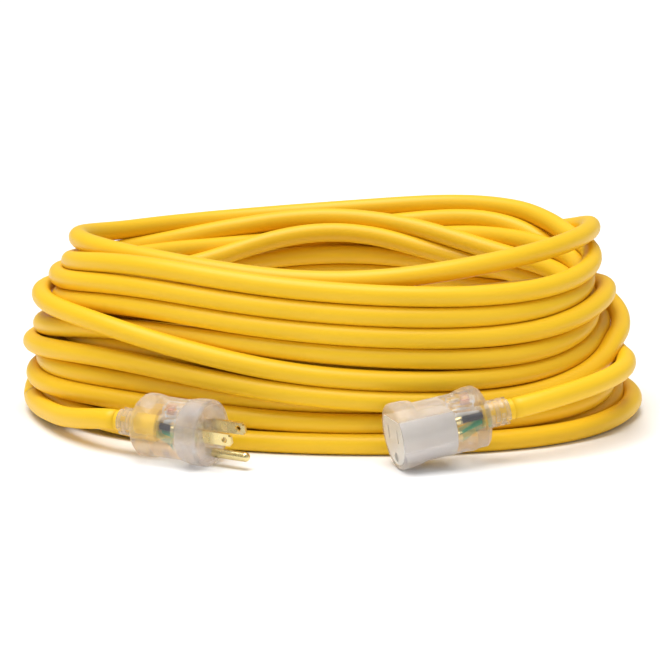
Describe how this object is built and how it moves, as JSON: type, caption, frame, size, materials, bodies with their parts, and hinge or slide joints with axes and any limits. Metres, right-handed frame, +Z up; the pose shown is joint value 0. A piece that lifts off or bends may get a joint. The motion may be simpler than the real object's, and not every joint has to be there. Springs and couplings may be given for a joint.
{
  "type": "extension cord",
  "caption": "Outdoor extension cord with a round yellow jacket, wound into an oval coil, with a clear moulded plug and a clear moulded connector.",
  "frame": {"origin": "on the surface the coil lies on, under the middle of the whole object's box", "axes": "+X to the right along the oval coil, seen from the side where plug and connector lie; +Y to the back of the coil, away from plug and connector; +Z up"},
  "size_m": [0.3312, 0.2668, 0.094],
  "materials": {
    "jacket_yellow": "satin",
    "clear_body": "clear gloss",
    "clear_insert": "clear gloss",
    "carrier_white": "satin, milky",
    "brass": "satin",
    "wire_black": "satin",
    "wire_white": "satin",
    "wire_green": "satin",
    "copper": "bare stranded copper",
    "lamp_glass": "clear",
    "resistor_tan": "satin",
    "tinned_lead": "satin"
  },
  "bodies": {
    "coil": {"cord_coil": "jacket_yellow", "plug_lead": "jacket_yellow", "connector_lead": "jacket_yellow"},
    "plug": {"plug_body": "clear_body", "plug_bridge": "clear_insert", "plug_line_blade": "brass", "plug_neutral_blade": "brass", "plug_ground_pin": "brass", "plug_jacket_end": "jacket_yellow", "plug_line_wire": "wire_black", "plug_neutral_wire": "wire_white", "plug_ground_wire": "wire_green", "plug_copper_ends": "copper", "plug_lamp": "lamp_glass", "plug_lamp_resistor": "resistor_tan", "plug_lamp_leads": "tinned_lead"},
    "connector": {"connector_body": "clear_body", "contact_carrier": "carrier_white", "line_contact": "brass", "neutral_contact": "brass", "ground_contact": "brass", "connector_jacket_end": "jacket_yellow", "connector_line_wire": "wire_black", "connector_neutral_wire": "wire_white", "connector_ground_wire": "wire_green", "connector_copper_ends": "copper", "connector_lamp": "lamp_glass", "connector_lamp_resistor": "resistor_tan", "connector_lamp_leads": "tinned_lead"}
  },
  "joints": [
    {"name": "plug_swing", "type": "hinge", "parent": "coil", "child": "plug", "pos_m": [-0.13, -0.058, 0.012], "axis": [0, 0, -1], "range_deg": [0, 40], "stiffness_Nm_per_rad": 0.15, "deforming": ["plug_lead"]},
    {"name": "connector_swing", "type": "hinge", "parent": "coil", "child": "connector", "pos_m": [0.14, -0.064, 0.033], "axis": [0, 0, 1], "range_deg": [0, 40], "stiffness_Nm_per_rad": 0.15, "deforming": ["connector_lead"]}
  ]
}
